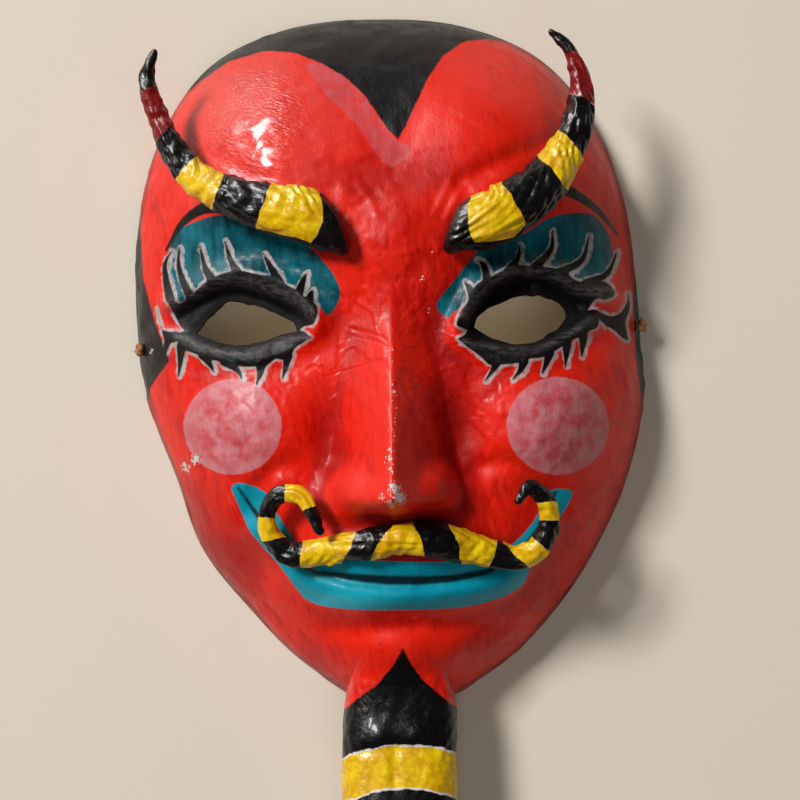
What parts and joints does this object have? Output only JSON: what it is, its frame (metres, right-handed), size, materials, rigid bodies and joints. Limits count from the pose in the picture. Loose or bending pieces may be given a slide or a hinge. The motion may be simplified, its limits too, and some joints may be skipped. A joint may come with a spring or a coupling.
{
  "type": "papier-mache devil mask",
  "caption": "Painted papier-mache devil mask: red face with raised lids, striped rolled-paper horns, curled moustache and goatee, flat rim, tie string.",
  "frame": {"origin": "middle of the mask on the plane of its flat back rim, measured without the tie string and its knots", "axes": "+Z out of the face (the mask lies face up on its rim), +Y to the top of the forehead, +X to the viewer's right"},
  "size_m": [0.2147, 0.379, 0.1007],
  "materials": {
    "face_paint": "satin",
    "striped_paint": "satin",
    "beard_paint": "satin",
    "twine": "matte"
  },
  "bodies": {
    "root": {"mask_shell": "face_paint", "horn_left": "striped_paint", "horn_right": "striped_paint", "moustache": "striped_paint", "goatee": "beard_paint", "knot_left": "twine", "knot_right": "twine", "tie_cord": "twine"}
  },
  "joints": []
}
